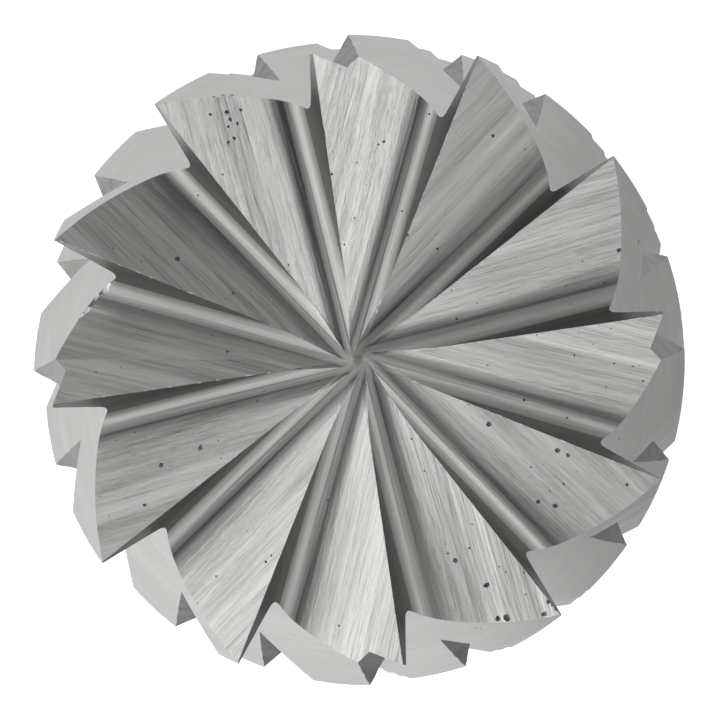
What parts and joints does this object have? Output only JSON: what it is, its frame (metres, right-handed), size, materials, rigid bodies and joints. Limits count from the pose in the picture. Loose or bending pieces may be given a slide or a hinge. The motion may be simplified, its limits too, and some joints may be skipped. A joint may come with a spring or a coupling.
{
  "type": "carbide burr",
  "caption": "Cylindrical rotary file in solid carbide with crossed helical flutes, a radial end cut and a plain round shank.",
  "frame": {"origin": "centre of the shank's end face, on which the burr stands", "axes": "+Z along the axis towards the cutting end; +X to the right of the end view, +Y up in it"},
  "size_m": [0.008, 0.008, 0.06],
  "materials": {
    "carbide": "ground tungsten carbide, fine parallel grinding lines"
  },
  "bodies": {
    "root": {"burr": "carbide"}
  },
  "joints": []
}
